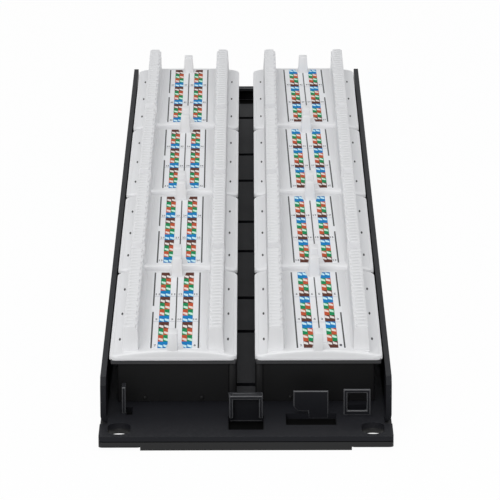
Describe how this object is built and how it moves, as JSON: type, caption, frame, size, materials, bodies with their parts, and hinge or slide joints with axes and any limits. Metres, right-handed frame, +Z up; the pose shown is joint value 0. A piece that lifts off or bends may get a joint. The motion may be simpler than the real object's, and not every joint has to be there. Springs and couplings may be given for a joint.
{
  "type": "patch panel",
  "caption": "Two-unit rack patch panel on its face, wire side up: punch-down bars with colour labels over rows of modular jacks.",
  "frame": {"origin": "on the surface that the panel lies on, under the middle of its outline", "axes": "+X along the panel's length, from the near ear to the far ear of the picture; +Y across it; +Z up, from the front face that it lies on to the wire side"},
  "size_m": [0.4826, 0.0882, 0.0278],
  "materials": {
    "black_steel": "fine matt powder coat",
    "black_plastic": "satin",
    "board": "dark solder lacquer",
    "contact_wire": "gold plated",
    "white_plastic": "satin",
    "label_film": "printed film"
  },
  "bodies": {
    "root": {"steel_panel": "black_steel", "front_fascia": "black_plastic", "jack_housing_1": "black_plastic", "circuit_board_1": "board", "jack_contacts_1": "contact_wire", "punch_block_1": "white_plastic", "colour_label_1": "label_film", "jack_housing_2": "black_plastic", "circuit_board_2": "board", "jack_contacts_2": "contact_wire", "punch_block_2": "white_plastic", "colour_label_2": "label_film", "jack_housing_3": "black_plastic", "circuit_board_3": "board", "jack_contacts_3": "contact_wire", "punch_block_3": "white_plastic", "colour_label_3": "label_film", "jack_housing_4": "black_plastic", "circuit_board_4": "board", "jack_contacts_4": "contact_wire", "punch_block_4": "white_plastic", "colour_label_4": "label_film", "jack_housing_5": "black_plastic", "circuit_board_5": "board", "jack_contacts_5": "contact_wire", "punch_block_5": "white_plastic", "colour_label_5": "label_film", "jack_housing_6": "black_plastic", "circuit_board_6": "board", "jack_contacts_6": "contact_wire", "punch_block_6": "white_plastic", "colour_label_6": "label_film", "jack_housing_7": "black_plastic", "circuit_board_7": "board", "jack_contacts_7": "contact_wire", "punch_block_7": "white_plastic", "colour_label_7": "label_film", "jack_housing_8": "black_plastic", "circuit_board_8": "board", "jack_contacts_8": "contact_wire", "punch_block_8": "white_plastic", "colour_label_8": "label_film"}
  },
  "joints": []
}
